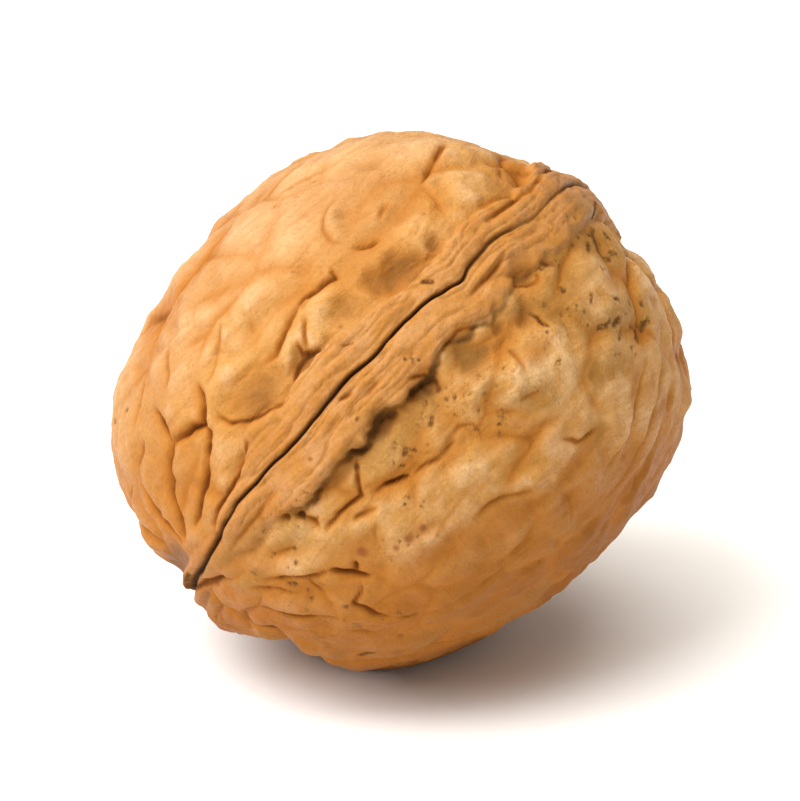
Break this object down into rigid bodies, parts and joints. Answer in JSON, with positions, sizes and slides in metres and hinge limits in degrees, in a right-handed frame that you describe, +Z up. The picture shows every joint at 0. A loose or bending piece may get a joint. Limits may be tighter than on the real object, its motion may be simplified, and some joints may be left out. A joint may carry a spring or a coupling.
{
  "type": "walnut",
  "caption": "Whole walnut in its wrinkled tan shell, lying on its side with the pointed end raised and the seam towards the viewer.",
  "frame": {"origin": "on the surface that the nut rests on, under the middle of its box", "axes": "+Z up; -Y towards the viewer of the front seam; the pointed end rises 37 degrees and heads 20 degrees from +X towards +Y"},
  "size_m": [0.0388, 0.036, 0.0365],
  "materials": {
    "shell": "satin"
  },
  "bodies": {
    "root": {"walnut": "shell"}
  },
  "joints": []
}
